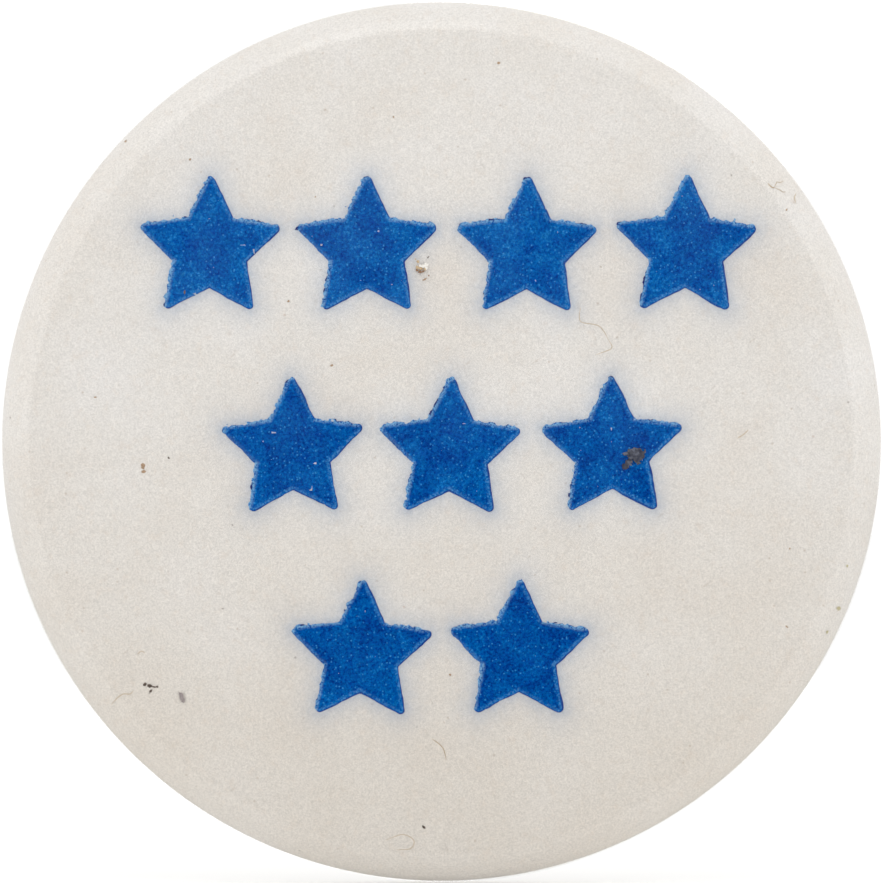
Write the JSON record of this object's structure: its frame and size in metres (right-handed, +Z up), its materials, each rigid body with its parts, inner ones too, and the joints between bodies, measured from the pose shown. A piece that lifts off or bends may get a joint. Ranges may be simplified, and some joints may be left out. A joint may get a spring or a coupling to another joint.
{
  "type": "button badge",
  "caption": "Round pin-back button badge: film-covered printed paper over a domed tin shell, with a collet ring and a spring pin.",
  "frame": {"origin": "centre of the badge's outer box, on its axis and halfway through its depth", "axes": "as worn: the face looks along -Y and the back along +Y, +X is right as seen from the front, +Z is up"},
  "size_m": [0.0318, 0.004, 0.0318],
  "materials": {
    "clear_film": "clear, glossy, lightly scratched",
    "printed_paper": "matt off-white, printed in blue with plain stars",
    "tinplate": "bright tinplate, lightly tarnished",
    "liner_paper": "matt, aged",
    "pin_wire": "nickel-plated steel wire"
  },
  "bodies": {
    "badge": {"celluloid_cover": "clear_film", "printed_paper": "printed_paper", "front_shell": "tinplate", "back_paper": "liner_paper", "collet_ring": "tinplate"},
    "pin_ring": {"pin_ring": "pin_wire"},
    "pin_elbow": {"pin_elbow": "pin_wire"},
    "pin_arm": {"pin_arm": "pin_wire"}
  },
  "joints": [
    {"name": "ring_turn", "type": "hinge", "parent": "badge", "child": "pin_ring", "pos_m": [0, 0.00062, 0], "axis": [0, 1, 0], "continuous": true},
    {"name": "pin_latch", "type": "hinge", "parent": "pin_ring", "child": "pin_elbow", "pos_m": [0.01317, 0.00062, -0.00248], "axis": [0, -1, 0], "range_deg": [0, 14], "stiffness_Nm_per_rad": 0.002},
    {"name": "pin_raise", "type": "hinge", "parent": "pin_elbow", "child": "pin_arm", "pos_m": [0.0092, 0.00062, 0], "axis": [0, 0, -1], "range_deg": [0, 40], "stiffness_Nm_per_rad": 0.002}
  ]
}
